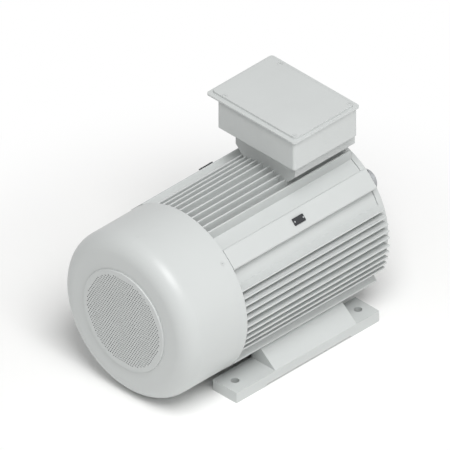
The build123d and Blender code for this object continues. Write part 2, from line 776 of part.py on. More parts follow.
# End shields: rim, dished wall, ribs and bearing hub; side is +1 at the drive end and -1 at the fan end
def end_shield(face_x, side, bearing_outer, hub_len):
    rim_in_r = shield_rim_r - shield_step - shield_rim_w
    hub_out_x = face_x + side * hub_proud
    spigot_r = frame_bore_r - fit
    wall_hub_r = hub_r + shield_wall / 2
    wall_in_x = shield_rim_t / 2 - shield_dish - shield_wall
    outline = [
        (hub_proud - hub_len, bearing_outer / 2 + fit),
        (hub_proud, bearing_outer / 2 + fit),
        (hub_proud, hub_r),
        (-shield_dish, wall_hub_r),
        (shield_rim_t / 2 - shield_dish, rim_in_r - shield_wall / 2),
        (shield_rim_t, rim_in_r),
        (shield_rim_t, shield_rim_r - shield_step - shield_edge),
        (shield_rim_t - shield_edge, shield_rim_r - shield_step),
        (shield_rim_t - shield_step_t, shield_rim_r - shield_step),
        (shield_rim_t - shield_step_t, shield_rim_r),
        (shield_groove_w, shield_rim_r),
        (shield_groove_w, shield_rim_r - shield_groove_d),
        (0, shield_rim_r - shield_groove_d),
        (0, spigot_r),
        (-shield_spigot_len, spigot_r),
        (-shield_spigot_len, spigot_r - shield_spigot_t),
        (wall_in_x, spigot_r - shield_spigot_t - shield_wall / 2),
        (-shield_wall - shield_dish, wall_hub_r),
        (hub_proud - hub_len, hub_r),
    ]
    with BuildPart() as shield:
        with BuildSketch(radial(0)):
            with BuildLine():
                Polyline(*[(face_x + side * dx, r) for dx, r in outline], close=True)
            make_face()
        revolve(axis=shaft_axis)
        rib_outline = [
            (-shield_wall / 2 - shield_dish, wall_hub_r),
            (hub_proud, hub_r - shield_rib_root),
            (shield_rim_t - shield_rib_sink, rim_in_r),
            (wall_in_x + shield_wall / 2, rim_in_r),
        ]
        with BuildSketch(*[radial(360 * (n + 0.5) / shield_rib_count) for n in range(shield_rib_count)]):
            with BuildLine():
                Polyline(*[(face_x + side * dx, r) for dx, r in rib_outline], close=True)
            make_face()
        extrude(amount=shield_rib_t / 2, both=True)
        rim_face = face_x + side * shield_rim_t
        with Locations(*ring_places(rim_face, side, shield_screw_pcd_r, shield_screw_count, pad_angle)):
            Hole(m10[0], shield_rim_t)
        with Locations(*ring_places(hub_out_x, side, cap_screw_pcd_r, cap_screw_count)):
            Hole(m8[0], hub_len)
    return shield


def cap(face_x, side, bore_r, thick, spigot_r, spigot_len, hole_r):
    """Bearing cap whose flange lies on the hub face at face_x, on the side it points to."""
    with BuildPart() as made:
        with BuildSketch(facing(face_x, side, 0, 0)):
            Circle(cap_r)
            Circle(bore_r, mode=Mode.SUBTRACT)
        extrude(amount=thick)
        with BuildSketch(facing(face_x, side, 0, 0)):
            Circle(spigot_r)
            Circle(spigot_r - cap_spigot_wall, mode=Mode.SUBTRACT)
        extrude(amount=-spigot_len)
        with Locations(*ring_places(face_x + side * thick, side, cap_screw_pcd_r, cap_screw_count)):
            Hole(hole_r, thick)
    return made


def lip_seal(face_x, side, seat_r):
    """Rubber ring on the shaft whose lip runs against a cap's outer face."""
    outline = [
        (seal_body_in, seat_r),
        (seal_len, seat_r),
        (seal_len, seat_r + seal_h),
        (seal_lip_back, seat_r + seal_h),
        (0, seat_r + seal_lip_h),
        (seal_lip_front, seat_r + seal_neck_h),
    ]
    with BuildPart() as made:
        with BuildSketch(radial(0)):
            with BuildLine():
                Polyline(*[(face_x + side * (seal_lip_gap + dx), r) for dx, r in outline], close=True)
            make_face()
        revolve(axis=shaft_axis)
    return made


drive_hub_x = frame_drive_x + hub_proud
fan_hub_x = frame_fan_x - hub_proud
drive_hub_len = outer_spigot + drive_width + inner_spigot
fan_hub_len = outer_spigot + fan_width + inner_spigot
shaft_gap_r = shaft_mid_r + running_gap
ends = [
    ("drive", 1, frame_drive_x, drive_hub_x, drive_hub_len, drive_outer, drive_bore, inner_spigot),
    ("fan", -1, frame_fan_x, fan_hub_x, fan_hub_len, fan_outer, fan_bore, inner_spigot - washer_t),
]
for end, side, face_x, hub_x, hub_len, outer_d, bore_d, spigot_len in ends:
    save(end_shield(face_x, side, outer_d, hub_len), f"{end}_end_shield")
    outer_cap = cap(hub_x, side, bore_d / 2 + running_gap, outer_cap_t, outer_d / 2, outer_spigot, m8[0])
    save(outer_cap, f"{end}_outer_cap")
    inner_x = hub_x - side * hub_len
    inner_cap = cap(inner_x, -side, shaft_gap_r, inner_cap_t, outer_d / 2, spigot_len, m8[1])
    save(inner_cap, f"{end}_inner_cap")
    cap_places = ring_places(hub_x + side * outer_cap_t, side, cap_screw_pcd_r, cap_screw_count)
    cap_screws = socket_screws(cap_places, m8, outer_cap_t + hub_len + inner_cap_t)
    save(cap_screws, f"{end}_cap_screws")
    rim_x = face_x + side * shield_rim_t
    rim_places = ring_places(rim_x, side, shield_screw_pcd_r, shield_screw_count, pad_angle)
    save(socket_screws(rim_places, m10, shield_rim_t + shield_bite - thread_end), f"{end}_shield_screws")
    save(lip_seal(hub_x + side * outer_cap_t, side, bore_d / 2), f"{end}_shaft_seal")

with BuildPart() as preload_washer:
    with BuildSketch(cross(fan_shoulder)):
        Circle(fan_outer / 2)
        Circle(fan_outer / 2 - cap_spigot_wall, mode=Mode.SUBTRACT)
    extrude(amount=washer_t)
save(preload_washer, "preload_washer")

# Fan cowl: drawn steel with a round shoulder and the air inlet in its face
with BuildPart() as fan_cowl:
    shoulder_x = cowl_front_x + cowl_shoulder_r
    shoulder_mid_r = cowl_r - cowl_shoulder_r
    with BuildSketch(radial(0)):
        with BuildLine():
            Line((cowl_rear_x, cowl_r), (shoulder_x, cowl_r))
            CenterArc((shoulder_x, shoulder_mid_r), cowl_shoulder_r, 90, 90)
            Polyline(
                (cowl_front_x, shoulder_mid_r),
                (cowl_front_x, inlet_r),
                (cowl_front_x + cowl_t, inlet_r),
                (cowl_front_x + cowl_t, shoulder_mid_r),
            )
            CenterArc((shoulder_x, shoulder_mid_r), cowl_shoulder_r - cowl_t, 90, 90)
            Polyline((shoulder_x, cowl_in_r), (cowl_rear_x, cowl_in_r), (cowl_rear_x, cowl_r))
        make_face()
    revolve(axis=shaft_axis)
    with Locations(*cowl_screw_places):
        CounterSinkHole(cowl_hole_r, cowl_screw_head_r, 2 * cowl_t, 90)
save(fan_cowl, "fan_cowl")
cowl_screws = flat_screws(cowl_screw_places, cowl_screw_tap_r, cowl_screw_head_r, cowl_screw_len)
save(cowl_screws, "cowl_screws")

# Inlet guard: pressed disc that stands proud of the cowl on its folded rim, pierced in rows
with BuildPart() as inlet_guard:
    with BuildSketch(cross(cowl_front_x - guard_stand)):
        Circle(guard_r)
    extrude(amount=guard_stand)
    fillet(inlet_guard.edges().sort_by(Axis.X)[0], guard_t)
    with BuildSketch(cross(cowl_front_x - guard_stand + guard_t)):
        Circle(guard_r - guard_t)
    extrude(amount=guard_stand, mode=Mode.SUBTRACT)
    row_pitch = guard_cell * sqrt(3) / 2
    rows = range(-int(guard_r / row_pitch), int(guard_r / row_pitch) + 1)
    spots = [(guard_cell * (n + row % 2 / 2), row_pitch * row) for row in rows for n in rows]
    kept = [spot for spot in spots if sqrt(spot[0] ** 2 + spot[1] ** 2) < inlet_r - guard_cell / 2]
    with BuildSketch(cross(cowl_front_x - guard_stand)):
        with Locations(*kept):
            RegularPolygon(guard_hole_w / 2, 6, major_radius=False)
    extrude(amount=guard_stand, mode=Mode.SUBTRACT)
save(inlet_guard, "inlet_guard")

# Terminal box on its seal, with corner bosses for the lid and two plugged cable entries
def box_outline(inset):
    with BuildSketch() as outline:
        with Locations((box_mid_x, 0)):
            RectangleRounded(box_len - 2 * inset, box_w - 2 * inset, box_corner_r - inset / 2)
    return outline.sketch


with BuildPart() as box_seal:
    seal_len_x = box_fan_x + box_len - pedestal_fan_x
    with BuildSketch(Plane.XY.offset(pedestal_top_z)):
        with Locations((pedestal_fan_x + seal_len_x / 2, 0)):
            Rectangle(seal_len_x - 2 * box_seal_t, 2 * (pedestal_half_w - box_seal_t))
        with Locations((passage_x, 0)):
            RectangleRounded(passage_len, passage_w, pad_round, mode=Mode.SUBTRACT)
        with Locations(*box_screw_spots):
            Circle(m8[0], mode=Mode.SUBTRACT)
    extrude(amount=box_seal_t)
save(box_seal, "box_seal")

with BuildPart() as terminal_box:
    with BuildSketch(Plane.XY.offset(box_bottom_z)):
        add(box_outline(0))
    extrude(amount=box_h)
    with BuildSketch(Plane.XY.offset(box_floor_z)):
        add(box_outline(box_wall))
    extrude(amount=box_h, mode=Mode.SUBTRACT)
    with BuildSketch(Plane.XY.offset(box_bottom_z)):
        with Locations(*boss_spots):
            Circle(box_boss_r)
    extrude(amount=box_h)
    with BuildSketch(Plane.XY.offset(box_bottom_z)):
        with Locations((passage_x, 0)):
            RectangleRounded(passage_len, passage_w, pad_round)
    extrude(amount=box_floor, mode=Mode.SUBTRACT)
    with Locations(*[(x, y, box_floor_z) for x, y in box_screw_spots]):
        Hole(m8[0], box_floor)
    with Locations(*[(x, y, box_top_z) for x, y in boss_spots]):
        Hole(m8[1], lid_screw_len)
    with Locations(*entry_places):
        Hole(entry_d / 2, 2 * box_wall)
    with Locations(*[(x, y, box_floor_z) for x, y in board_screw_spots]):
        Hole(m6[1], board_bite)
    with Locations((earth_x, earth_y, box_floor_z)):
        Hole(m8[1], board_bite)
save(terminal_box, "terminal_box")
box_screw_places = [Plane((x, y, box_floor_z)) for x, y in box_screw_spots]
box_screws = socket_screws(box_screw_places, m8, box_floor + box_seal_t + box_screw_bite - thread_end)
save(box_screws, "box_screws")
earth_places = [Plane((earth_x, earth_y, box_floor_z + lug_t))]
earth_screw = socket_screws(earth_places, m8, lug_t + board_bite - fit)
save(earth_screw, "earth_screw")
with BuildPart() as earth_washer:
    with BuildSketch(Plane.XY.offset(box_floor_z)):
        with Locations((earth_x, earth_y)):
            Circle(lug_r)
            Circle(m8[0], mode=Mode.SUBTRACT)
    extrude(amount=lug_t)
save(earth_washer, "earth_washer")

with BuildPart() as lid_gasket:
    with BuildSketch(Plane.XY.offset(box_top_z)):
        add(box_outline(0))
        add(box_outline(box_wall), mode=Mode.SUBTRACT)
        with Locations(*boss_spots):
            Circle(box_boss_r)
            Circle(m8[0], mode=Mode.SUBTRACT)
    extrude(amount=lid_gasket_t)
save(lid_gasket, "lid_gasket")

with BuildPart() as box_lid:
    with BuildSketch(Plane.XY.offset(lid_bottom_z)):
        with Locations((box_mid_x, lid_mid_y)):
            RectangleRounded(lid_len, lid_w, lid_corner_r)
    extrude(amount=lid_t)
    with BuildSketch(Plane.XY.offset(lid_bottom_z + lid_t)):
        with Locations((box_mid_x, lid_mid_y)):
            RectangleRounded(panel_len, panel_w, lid_panel_corner_r)
    extrude(amount=lid_panel_h)
    with BuildSketch(Plane.XY.offset(lid_bottom_z)):
        add(box_outline(lid_hollow_inset))
        with Locations(*boss_spots):
            Circle(box_boss_r, mode=Mode.SUBTRACT)
    extrude(amount=lid_t + lid_panel_h - lid_shell, mode=Mode.SUBTRACT)
    with Locations(*[(x, y, lid_top_z) for x, y in boss_spots]):
        CounterSinkHole(m8[0], lid_screw_head_r, lid_t + lid_panel_h, 90)
save(box_lid, "box_lid")
lid_screw_places = [Plane((x, y, lid_top_z)) for x, y in boss_spots]
lid_screws = flat_screws(lid_screw_places, m8[1], lid_screw_head_r, lid_screw_len)
save(lid_screws, "lid_screws")

with BuildPart() as cable_plugs:
    with BuildSketch(*[place.offset(plug_seal_t) for place in entry_places]):
        Circle(plug_flange_r)
    extrude(amount=plug_flange_t)
    with BuildSketch(*[place.offset(plug_seal_t) for place in entry_places]):
        Circle(entry_d / 2 - fit)
    extrude(amount=-(plug_seal_t + box_wall + plug_tail))
    with BuildSketch(*[place.offset(plug_seal_t + plug_flange_t) for place in entry_places]):
        RegularPolygon(plug_hex_w / 2, 6, major_radius=False)
    extrude(amount=plug_hex_h)
save(cable_plugs, "cable_plugs")
with BuildPart() as plug_seals:
    with BuildSketch(*entry_places):
        Circle(plug_flange_r - plug_seal_t)
        Circle(entry_d / 2, mode=Mode.SUBTRACT)
    extrude(amount=plug_seal_t)
save(plug_seals, "plug_seals")

# Terminal board, its studs, links and nuts, and the winding's leads
with BuildPart() as terminal_board:
    with BuildSketch(Plane.XY.offset(box_floor_z)):
        with Locations((board_x, 0)):
            RectangleRounded(board_len, board_w, board_round)
    extrude(amount=board_t)
    with BuildSketch(Plane.XY.offset(board_top_z)):
        with Locations((board_x, -stud_span_y / 2), (board_x, stud_span_y / 2)):
            Rectangle(board_len - 2 * board_round, rib_t)
    extrude(amount=rib_h)
    with Locations(*[(x, y, board_top_z) for x, y in stud_spots]):
        Hole(stud_r + fit, board_t - board_skin)
    with Locations(*[(x, y, board_top_z) for x, y in board_screw_spots]):
        Hole(m6[0], board_t)
save(terminal_board, "terminal_board")
board_screw_places = [Plane((x, y, board_top_z)) for x, y in board_screw_spots]
save(socket_screws(board_screw_places, m6, board_t + board_bite - fit), "board_screws")

with BuildPart() as terminal_studs:
    with Locations(*[(x, y, board_top_z - board_t + board_skin) for x, y in stud_spots]):
        Cylinder(stud_r, stud_len, align=(Align.CENTER, Align.CENTER, Align.MIN))
save(terminal_studs, "terminal_studs")

link_z = board_top_z + lug_t
with BuildPart() as terminal_links:
    with BuildSketch(Plane.XY.offset(link_z)):
        with Locations(*[(board_x, y) for y in stud_ys]):
            SlotCenterToCenter(stud_span_x, link_w, rotation=0)
        with Locations(*stud_spots):
            Circle(stud_r + fit, mode=Mode.SUBTRACT)
    extrude(amount=link_t)
save(terminal_links, "terminal_links")

with BuildPart() as terminal_nuts:
    with BuildSketch(Plane.XY.offset(link_z + link_t)):
        with Locations(*stud_spots):
            RegularPolygon(nut_w / 2, 6, major_radius=False)
            Circle(stud_r + fit, mode=Mode.SUBTRACT)
    extrude(amount=nut_h)
save(terminal_nuts, "terminal_nuts")

lead_z = board_top_z + lead_r
with BuildPart() as winding_leads:
    for stud_x, stud_y in stud_spots:
        near = stud_x > board_x
        lead_y = stud_y if near else stud_y + lead_pitch
        foot_y = max(abs(lead_y) - lead_r, 0)
        start_z = origin_z + sqrt(coil_head_out_r**2 - foot_y**2) + lead_seat
        with BuildLine() as route:
            if near:
                FilletPolyline(
                    (passage_x, lead_y, start_z),
                    (passage_x, lead_y, lead_z),
                    (stud_x + lug_r - fit, lead_y, lead_z),
                    radius=lead_bend_r,
                )
            else:
                FilletPolyline(
                    (passage_x, lead_y, start_z),
                    (passage_x, lead_y, lead_z),
                    (stud_x, lead_y, lead_z),
                    (stud_x, stud_y + lug_r - fit, lead_z),
                    radius=[lead_bend_r, lead_turn_r],
                )
        with BuildSketch(Plane.XY.offset(start_z)):
            with Locations((passage_x, lead_y)):
                Circle(lead_r)
        sweep(path=route.line)
    with BuildSketch(Plane.XY.offset(board_top_z)):
        with Locations(*stud_spots):
            Circle(lug_r)
        with Locations(*[(x + lug_r, y) for x, y in stud_spots if x > board_x]):
            Rectangle(2 * lead_r, 2 * lead_r)
        with Locations(*[(x, y + lug_r) for x, y in stud_spots if x < board_x]):
            Rectangle(2 * lead_r, 2 * lead_r)
        with Locations(*stud_spots):
            Circle(stud_r + fit, mode=Mode.SUBTRACT)
    extrude(amount=lug_t)
save(winding_leads, "winding_leads")

# Blank plates on the two upper pads, each held by two rivets
with BuildPart() as pad_plates:
    with BuildSketch(*[outward(plate_x, angle, pad_r) for angle in plate_angles]):
        RectangleRounded(plate_len, plate_w, plate_corner_r)
    extrude(amount=plate_t)
    with Locations(*rivet_places):
        Hole(rivet_r, plate_t)
save(pad_plates, "pad_plates")
with BuildPart() as plate_rivets:
    with BuildSketch(*rivet_places):
        Circle(rivet_head_r)
    extrude(amount=rivet_head_h)
    with BuildSketch(*rivet_places):
        Circle(rivet_r - fit)
    extrude(amount=-rivet_len)
save(plate_rivets, "plate_rivets")
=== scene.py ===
import math

import bmesh
import bpy
from mathutils import Matrix, Vector


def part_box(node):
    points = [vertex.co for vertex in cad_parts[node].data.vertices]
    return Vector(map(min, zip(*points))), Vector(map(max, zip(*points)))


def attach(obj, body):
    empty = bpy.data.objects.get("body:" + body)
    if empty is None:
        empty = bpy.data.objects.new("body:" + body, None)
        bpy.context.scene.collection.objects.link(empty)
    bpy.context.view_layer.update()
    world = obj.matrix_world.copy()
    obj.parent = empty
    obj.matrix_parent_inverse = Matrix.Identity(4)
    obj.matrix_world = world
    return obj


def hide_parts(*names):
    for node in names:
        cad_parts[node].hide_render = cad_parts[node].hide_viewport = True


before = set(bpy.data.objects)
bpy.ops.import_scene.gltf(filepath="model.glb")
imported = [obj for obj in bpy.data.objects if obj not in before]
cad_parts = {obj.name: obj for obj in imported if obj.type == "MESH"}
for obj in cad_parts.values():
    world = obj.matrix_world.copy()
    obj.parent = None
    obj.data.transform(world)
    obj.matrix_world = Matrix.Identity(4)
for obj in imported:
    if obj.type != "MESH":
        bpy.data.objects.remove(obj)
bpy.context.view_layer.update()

bl_info = {
    "name": "Electric Motor Looks",
    "version": (1, 0, 0),
    "blender": (4, 5, 0),
    "location": "View3D > Sidebar > Motor",
    "description": "Finishes, inlet guard and stage for a finned electric motor",
    "category": "Object",
}

MM = 0.001
SHAFT_HEIGHT = 0.25

# Where the photograph was taken from: an isometric view, with its middle and width on the motor
VIEW_MIDDLE = (0.0442, 0.12346, 0.25)
VIEW_WIDTH = 1.21725
CAMERA_DISTANCE = 4
CAMERA_REACH = 50

FLOOR_SIZE = 30
KEY_LIGHT_PLACE = (-1.6, -2.6, 5.4)
KEY_LIGHT_SIZE = 3.2
FILL_LIGHT_PLACE = (0.9, -2.8, 0.9)
FILL_LIGHT_SIZE = 2.4

# How finely the guard's rim and its fold are divided, and how near two cell corners are one
RIM_SEGMENTS = 120
FOLD_STEPS = 4
SAME_CORNER = 0.02 * MM


def linear(hex_code):
    """An sRGB colour such as 'C9CCCB' as linear red, green and blue."""
    values = [int(hex_code[i:i + 2], 16) / 255 for i in (0, 2, 4)]
    return tuple(v / 12.92 if v <= 0.04045 else ((v + 0.055) / 1.055) ** 2.4 for v in values)


class MotorFinishSettings(bpy.types.PropertyGroup):
    """Colours and surface sizes of the finishes."""

    paint: bpy.props.FloatVectorProperty(
        name="Paint", description="Colour of the machine paint", subtype="COLOR", size=3,
        min=0, max=1, default=linear("C6C9C8"))
    paint_grain: bpy.props.FloatProperty(
        name="Paint Grain", description="Size of the ripple in the paint on castings",
        subtype="DISTANCE", unit="LENGTH", default=2.4 * MM, min=0.2 * MM, max=20 * MM, precision=5)
    paint_gloss: bpy.props.FloatProperty(
        name="Paint Roughness", description="Roughness of the paint", subtype="FACTOR",
        default=0.42, min=0, max=1)
    plate: bpy.props.FloatVectorProperty(
        name="Blank Plate", description="Colour of the blank plates", subtype="COLOR", size=3,
        min=0, max=1, default=linear("26282B"))
    polymer: bpy.props.FloatVectorProperty(
        name="Polymer", description="Colour of the fan and the cable plugs", subtype="COLOR",
        size=3, min=0, max=1, default=linear("2B2D2F"))
    varnish: bpy.props.FloatVectorProperty(
        name="Winding Varnish", description="Colour of the varnished copper wire", subtype="COLOR",
        size=3, min=0, max=1, default=linear("8A4A24"))
    wire: bpy.props.FloatProperty(
        name="Wire", description="Diameter of the wire seen on the coil heads",
        subtype="DISTANCE", unit="LENGTH", default=2.2 * MM, min=0.3 * MM, max=5 * MM, precision=5)
    edge: bpy.props.FloatProperty(
        name="Edge Rounding", description="Radius that hard edges are shaded with",
        subtype="DISTANCE", unit="LENGTH", default=1.2 * MM, min=0.1 * MM, max=5 * MM, precision=5)
    turning: bpy.props.FloatProperty(
        name="Turning Lines", description="Spacing of the tool lines on the turned shaft",
        subtype="DISTANCE", unit="LENGTH", default=0.8 * MM, min=0.1 * MM, max=5 * MM, precision=5)


class MotorGuardSettings(bpy.types.PropertyGroup):
    """Sizes of the pierced disc over the air inlet."""

    pitch: bpy.props.FloatProperty(
        name="Hole Pitch", description="Distance from one hole to the next",
        subtype="DISTANCE", unit="LENGTH", default=8 * MM, min=4 * MM, max=30 * MM, precision=5)
    hole: bpy.props.FloatProperty(
        name="Hole Size", description="Width of each hole across its flats",
        subtype="DISTANCE", unit="LENGTH", default=3.8 * MM, min=1 * MM, max=25 * MM, precision=5)
    sheet: bpy.props.FloatProperty(
        name="Sheet", description="Thickness of the sheet",
        subtype="DISTANCE", unit="LENGTH", default=1.5 * MM, min=0.5 * MM, max=4 * MM, precision=5)
    border: bpy.props.FloatProperty(
        name="Plain Border", description="Width left without holes inside the rim",
        subtype="DISTANCE", unit="LENGTH", default=12 * MM, min=4 * MM, max=60 * MM, precision=5)
    fold: bpy.props.FloatProperty(
        name="Fold Radius", description="Radius of the fold between disc and rim",
        subtype="DISTANCE", unit="LENGTH", default=2 * MM, min=0.5 * MM, max=5 * MM, precision=5)


class MotorStageSettings(bpy.types.PropertyGroup):
    """Floor, light and camera."""

    azimuth: bpy.props.FloatProperty(
        name="Azimuth", description="Direction the camera looks along, from +Y towards +X",
        subtype="ANGLE", unit="ROTATION", default=math.radians(45))
    elevation: bpy.props.FloatProperty(
        name="Elevation", description="Height of the camera above the floor, as an angle",
        subtype="ANGLE", unit="ROTATION", default=math.atan(math.sqrt(0.5)))
    floor: bpy.props.FloatVectorProperty(
        name="Floor", description="Colour of the floor", subtype="COLOR", size=3,
        min=0, max=1, default=linear("FDFDFC"))
    key_power: bpy.props.FloatProperty(
        name="Key Light", description="Power of the main light", unit="POWER", default=285.0, min=0)
    fill_power: bpy.props.FloatProperty(
        name="Fill Light", description="Power of the light from the other side", unit="POWER",
        default=7.0, min=0)
    sky: bpy.props.FloatProperty(
        name="Sky", description="Strength of the even light from all round", default=0.40, min=0)
    fade: bpy.props.FloatProperty(
        name="Floor Fade", description="Distance from the motor's middle where the floor starts to "
        "turn plain white", subtype="DISTANCE", unit="LENGTH", default=0.55, min=0.3, max=10)


def new_material(name):
    """A material with an empty node tree, and its shader joined to its output."""
    material = bpy.data.materials.new(name)
    material.use_nodes = True
    tree = material.node_tree
    tree.nodes.clear()
    shader = add(tree, "ShaderNodeBsdfPrincipled")
    add(tree, "ShaderNodeOutputMaterial", {"Surface": shader.outputs["BSDF"]})
    return material, tree, shader


def add(tree, kind, inputs=None, **settings):
    """Adds one node, sets its options, and sets or links its inputs."""
    made = tree.nodes.new(kind)
    for key, value in settings.items():
        setattr(made, key, value)
    for key, value in (inputs or {}).items():
        if isinstance(value, bpy.types.NodeSocket):
            tree.links.new(value, made.inputs[key])
        else:
            made.inputs[key].default_value = value
    return made


def tinted(tree, shader, colour, spread, size):
    """Base colour that drifts a little lighter and darker over patches of the given size."""
    place = add(tree, "ShaderNodeTexCoord").outputs["Object"]
    cloud = add(tree, "ShaderNodeTexNoise", {"Vector": place, "Scale": 1 / size, "Detail": 3.0})
    dark = tuple(max(0.0, c * (1 - spread)) for c in colour) + (1,)
    light = tuple(min(1.0, c * (1 + spread)) for c in colour) + (1,)
    blend = add(tree, "ShaderNodeMix", data_type="RGBA")
    tree.links.new(cloud.outputs["Fac"], blend.inputs[0])
    blend.inputs[6].default_value = dark
    blend.inputs[7].default_value = light
    tree.links.new(blend.outputs[2], shader.inputs["Base Color"])


def roughened(tree, shader, low, high, size):
    """Roughness that drifts between two values over patches of the given size."""
    place = add(tree, "ShaderNodeTexCoord").outputs["Object"]
    cloud = add(tree, "ShaderNodeTexNoise", {"Vector": place, "Scale": 1 / size, "Detail": 4.0})
    limits = {"Value": cloud.outputs["Fac"], "To Min": low, "To Max": high}
    spread = add(tree, "ShaderNodeMapRange", limits)
    tree.links.new(spread.outputs["Result"], shader.inputs["Roughness"])


def bumped(tree, shader, height, depth):
    """Relief of the given depth, over edges that are shaded as slightly rounded."""
    radius = bpy.context.scene.motor_finish.edge
    edges = add(tree, "ShaderNodeBevel", {"Radius": radius}, samples=4)
    bump = add(tree, "ShaderNodeBump", {
        "Height": height, "Distance": depth, "Strength": 1.0, "Normal": edges.outputs["Normal"]})
    tree.links.new(bump.outputs["Normal"], shader.inputs["Normal"])


def grain(tree, shader, size, depth):
    """Fine pits and bumps of the given size and depth."""
    place = add(tree, "ShaderNodeTexCoord").outputs["Object"]
    cloud = add(tree, "ShaderNodeTexNoise", {"Vector": place, "Scale": 1 / size, "Detail": 2.0})
    bumped(tree, shader, cloud.outputs["Fac"], depth)


def wave_scale(spacing):
    """A wave texture's scale for ridges the given distance apart."""
    return math.tau / (20 * spacing)


def lines_along(tree, shader, direction, spacing, depth):
    """Fine ridges square to one axis, such as tool lines or sheet edges."""
    place = add(tree, "ShaderNodeTexCoord").outputs["Object"]
    settings = {"Vector": place, "Scale": wave_scale(spacing), "Distortion": 0.4}
    wave = add(tree, "ShaderNodeTexWave", settings, wave_type="BANDS", bands_direction=direction)
    bumped(tree, shader, wave.outputs["Fac"], depth)


def cast_paint(finish):
    # Enamel over a sand-cast skin: a soft sheen broken by a fine ripple, with rounded edges
    material, tree, shader = new_material("Light grey paint on cast iron")
    gloss = finish.paint_gloss
    tinted(tree, shader, finish.paint, spread=0.035, size=90 * MM)
    roughened(tree, shader, low=gloss - 0.05, high=gloss + 0.08, size=35 * MM)
    grain(tree, shader, size=finish.paint_grain, depth=0.10 * MM)
    return material


def sheet_paint(finish):
    # The same enamel over smooth pressed steel: a clearer, longer highlight and hardly any ripple
    material, tree, shader = new_material("Light grey paint on pressed steel")
    gloss = finish.paint_gloss
    tinted(tree, shader, finish.paint, spread=0.02, size=160 * MM)
    roughened(tree, shader, low=gloss - 0.09, high=gloss, size=50 * MM)
    grain(tree, shader, size=finish.paint_grain / 2, depth=0.02 * MM)
    return material


def metal(name, code, roughness, spread, patch, lines=None):
    """Bare metal, a little cloudy over patches of the given size, with or without fine ridges."""
    material, tree, shader = new_material(name)
    shader.inputs["Metallic"].default_value = 1.0
    tinted(tree, shader, linear(code), spread, size=patch)
    roughened(tree, shader, low=roughness - 0.06, high=roughness + 0.06, size=patch / 3)
    if lines:
        lines_along(tree, shader, **lines)
    return material


def winding(finish):
    # Round wires laid round the coil heads under clear varnish: warm brown strands, with painted
    # shade darkening the gaps between them, and broken highlights. The wire is drawn thicker than the
    # real 1 mm so that it shows
    material, tree, shader = new_material("Varnished copper wire")
    place = add(tree, "ShaderNodeTexCoord").outputs["Object"]
    on_shaft = add(tree, "ShaderNodeMapping", {"Vector": place, "Location": (0, 0, -SHAFT_HEIGHT)})
    spread = add(tree, "ShaderNodeSeparateXYZ", {"Vector": on_shaft.outputs["Vector"]})
    across = add(tree, "ShaderNodeVectorMath", {
        0: on_shaft.outputs["Vector"], 1: (0, 1, 1)}, operation="MULTIPLY")
    radius = add(tree, "ShaderNodeVectorMath", {0: across.outputs["Vector"]}, operation="LENGTH")
    from_middle = add(tree, "ShaderNodeMath", {0: spread.outputs["X"]}, operation="ABSOLUTE")
    turns = add(tree, "ShaderNodeMath", {
        0: radius.outputs["Value"], 1: from_middle.outputs["Value"]}, operation="SUBTRACT")
    route = add(tree, "ShaderNodeCombineXYZ", {
        "X": turns.outputs["Value"], "Y": spread.outputs["Y"], "Z": spread.outputs["Z"]})
    strands = add(tree, "ShaderNodeTexWave", {
        "Vector": route.outputs["Vector"], "Scale": wave_scale(finish.wire), "Distortion": 9.0,
        "Detail": 1.0, "Detail Scale": 0.2}, wave_type="BANDS", bands_direction="X")
    blend = add(tree, "ShaderNodeMix", data_type="RGBA")
    tree.links.new(strands.outputs["Fac"], blend.inputs[0])
    # Painted shade: the copper colour is darkened to 0.3 in the gaps between the strands
    blend.inputs[6].default_value = tuple(c * 0.3 for c in finish.varnish) + (1,)
    blend.inputs[7].default_value = (*finish.varnish, 1)
    tree.links.new(blend.outputs[2], shader.inputs["Base Color"])
    shader.inputs["Roughness"].default_value = 0.32
    shader.inputs["Coat Weight"].default_value = 0.5
    bumped(tree, shader, strands.outputs["Fac"], depth=0.5 * MM)
    return material


def moulded(name, colour, roughness, size, depth):
    """Plastic, rubber or coated sheet with a fine grain of the given size and depth."""
    material, tree, shader = new_material(name)
    tinted(tree, shader, colour, spread=0.08, size=25 * MM)
    shader.inputs["Roughness"].default_value = roughness
    grain(tree, shader, size, depth)
    return material


CAST_NODES = [
    "frame_housing", "drive_end_shield", "fan_end_shield", "drive_outer_cap", "fan_outer_cap",
    "drive_inner_cap", "fan_inner_cap", "left_foot", "right_foot", "terminal_box", "box_lid",
]
SHEET_NODES = ["fan_cowl", "cowl_screws", "lid_screws"]
SHAFT_NODES = ["shaft", "fan_key"]
CORE_NODES = ["stator_core", "rotor_core"]
BALL_NODES = ["drive_bearing_balls", "fan_bearing_balls"]
RING_NODES = [
    "drive_bearing_inner_ring", "drive_bearing_outer_ring",
    "fan_bearing_inner_ring", "fan_bearing_outer_ring",
]
PLATED_NODES = [
    "board_screws", "box_screws", "drive_cap_screws", "drive_shield_screws", "fan_cap_screws",
    "fan_shield_screws", "foot_screws", "earth_screw", "earth_washer", "plate_rivets",
]
SPRING_NODES = ["fan_clip", "preload_washer"]
BRASS_NODES = [
    "terminal_studs", "terminal_nuts", "terminal_links", "drive_bearing_cage", "fan_bearing_cage",
]
RUBBER_NODES = [
    "box_seal", "lid_gasket", "plug_seals", "drive_shaft_seal", "fan_shaft_seal", "winding_leads",
]


def dress(material, names):
    """Puts one material on the named CAD nodes."""
    for name in names:
        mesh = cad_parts[name].data
        mesh.materials.clear()
        mesh.materials.append(material)


class MOTOR_OT_painted_parts(bpy.types.Operator):
    """Paint the castings and the pressed sheet in machine grey"""

    bl_idname = "motor.painted_parts"
    bl_label = "Painted Parts"

    def execute(self, context):
        finish = context.scene.motor_finish
        dress(cast_paint(finish), CAST_NODES)
        dress(sheet_paint(finish), SHEET_NODES)
        return {"FINISHED"}


